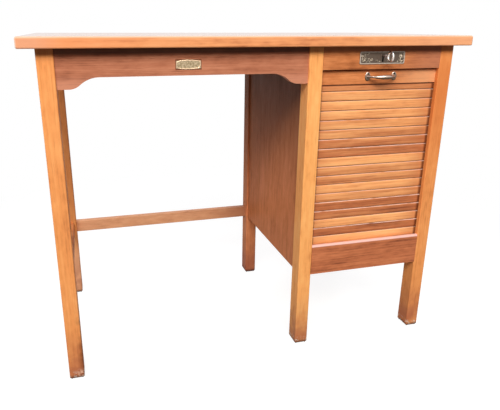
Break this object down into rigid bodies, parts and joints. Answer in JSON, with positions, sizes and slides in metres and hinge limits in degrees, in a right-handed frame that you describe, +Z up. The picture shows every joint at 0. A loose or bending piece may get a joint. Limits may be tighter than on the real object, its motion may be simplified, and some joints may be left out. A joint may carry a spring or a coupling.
{
  "type": "tambour pedestal desk",
  "caption": "Flat-top writing desk on square legs with an open kneehole and a side pedestal closed by a slatted roll-down shutter with a lock.",
  "frame": {"origin": "on the floor, below the middle of the overall box, which the desk top and the key in its lock set", "axes": "+Z up, -Y out of the front, +X to the right as seen from the front, towards the pedestal"},
  "size_m": [0.98, 0.534, 0.76],
  "materials": {
    "top_wood": "oiled, worn",
    "leg_wood": "oiled, worn",
    "apron_wood": "oiled",
    "stretcher_wood": "oiled",
    "rail_wood": "oiled",
    "plinth_wood": "oiled",
    "panel_wood": "oiled",
    "inner_wood": "plain",
    "lead_slat_wood": "oiled",
    "slat_wood": "oiled",
    "canvas": "plain weave",
    "white_metal": "aged",
    "pale_brass": "aged",
    "lock_steel": "dull"
  },
  "bodies": {
    "desk": {"canvas_backing": "canvas", "desk_top": "top_wood", "dust_board": "inner_wood", "escutcheon_pins": "white_metal", "escutcheon_plate": "white_metal", "front_apron": "apron_wood", "glue_blocks": "inner_wood", "left_guide_board": "inner_wood", "left_side_apron": "apron_wood", "left_side_stretcher": "stretcher_wood", "leg_front_left": "leg_wood", "leg_rear_left": "leg_wood", "lock_case": "lock_steel", "lock_screws": "lock_steel", "lower_shelf": "inner_wood", "name_plate": "pale_brass", "name_plate_pins": "pale_brass", "pedestal_back_panel": "panel_wood", "pedestal_floor": "inner_wood", "pedestal_left_panel": "panel_wood", "pedestal_leg_front_left": "leg_wood", "pedestal_leg_front_right": "leg_wood", "pedestal_leg_rear_left": "leg_wood", "pedestal_leg_rear_right": "leg_wood", "pedestal_rear_rail": "rail_wood", "pedestal_right_panel": "panel_wood", "pedestal_top_rail": "rail_wood", "plinth_rail": "plinth_wood", "rear_apron": "apron_wood", "rear_stretcher": "stretcher_wood", "right_guide_board": "inner_wood", "shelf_cleats": "inner_wood", "slat_01": "slat_wood", "slat_02": "slat_wood", "slat_03": "slat_wood", "slat_04": "slat_wood", "slat_05": "slat_wood", "slat_06": "slat_wood", "slat_07": "slat_wood", "slat_08": "slat_wood", "slat_09": "slat_wood", "slat_10": "slat_wood", "slat_11": "slat_wood", "slat_12": "slat_wood", "slat_13": "slat_wood", "slat_14": "slat_wood", "slat_15": "slat_wood", "slat_16": "slat_wood", "slat_17": "slat_wood", "slat_18": "slat_wood", "upper_shelf": "inner_wood"},
    "shutter": {"lead_slat": "lead_slat_wood", "pull_handle": "white_metal", "handle_screws": "lock_steel", "shutter_staple": "lock_steel", "staple_screws": "lock_steel"},
    "lock_key": {"key": "white_metal"},
    "lock_slide": {"lock_bolt": "lock_steel"}
  },
  "joints": [
    {"name": "shutter_drop", "type": "slide", "parent": "desk", "child": "shutter", "axis": [0, 0, -1], "range_m": [0, 0.38], "deforming": ["slat_01", "slat_02", "slat_03", "slat_04", "slat_05", "slat_06", "slat_07", "slat_08", "slat_09", "slat_10", "slat_11", "slat_12", "slat_13", "slat_14", "slat_15", "slat_16", "slat_17", "slat_18", "canvas_backing"]},
    {"name": "key_turn", "type": "hinge", "parent": "desk", "child": "lock_key", "pos_m": [0.2764, -0.2234, 0.71605], "axis": [0, 1, 0], "range_deg": [0, 180]},
    {"name": "bolt_throw", "type": "slide", "parent": "desk", "child": "lock_slide", "axis": [1, 0, 0], "range_m": [0, 0.008]}
  ],
  "couplings": [
    {"joint": "bolt_throw", "follows": "key_turn", "m_per_rad": 0.0025464}
  ]
}
